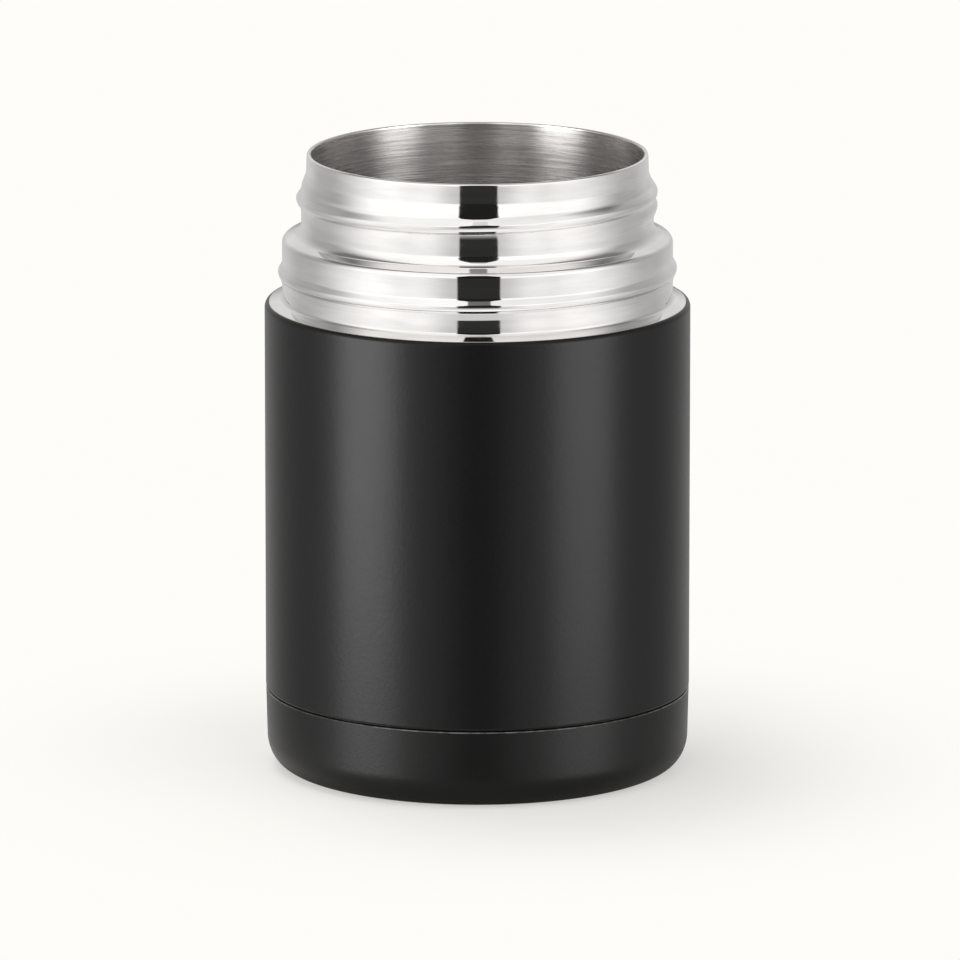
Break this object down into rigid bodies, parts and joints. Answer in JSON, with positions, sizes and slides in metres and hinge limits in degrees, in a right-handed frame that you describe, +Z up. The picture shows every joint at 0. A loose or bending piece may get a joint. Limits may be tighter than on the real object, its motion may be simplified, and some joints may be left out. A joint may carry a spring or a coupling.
{
  "type": "insulated food jar",
  "caption": "Open double-walled insulated food jar with a stepped, twice-threaded steel neck, black coated body and base cap.",
  "frame": {"origin": "centre of the base, on the surface that the jar stands on", "axes": "+Z up along the jar's axis, out of the mouth; +X to the right in the pictured view, and +Y away from the viewer"},
  "size_m": [0.09, 0.09, 0.1316],
  "materials": {
    "black_coat": "satin",
    "polished_steel": "polished",
    "brushed_steel": "satin",
    "mill_steel": "satin",
    "copper_foil": "satin",
    "solder_glass": "gloss",
    "getter_metal": "matte"
  },
  "bodies": {
    "root": {"outer_shell": "black_coat", "neck_collar": "polished_steel", "liner_tube": "brushed_steel", "liner_bottom": "brushed_steel", "foil_wrap": "copper_foil", "foil_disc": "copper_foil", "vacuum_bottom": "mill_steel", "seal_bead": "solder_glass", "getter": "getter_metal", "getter_strip": "mill_steel", "base_cap": "black_coat"}
  },
  "joints": []
}
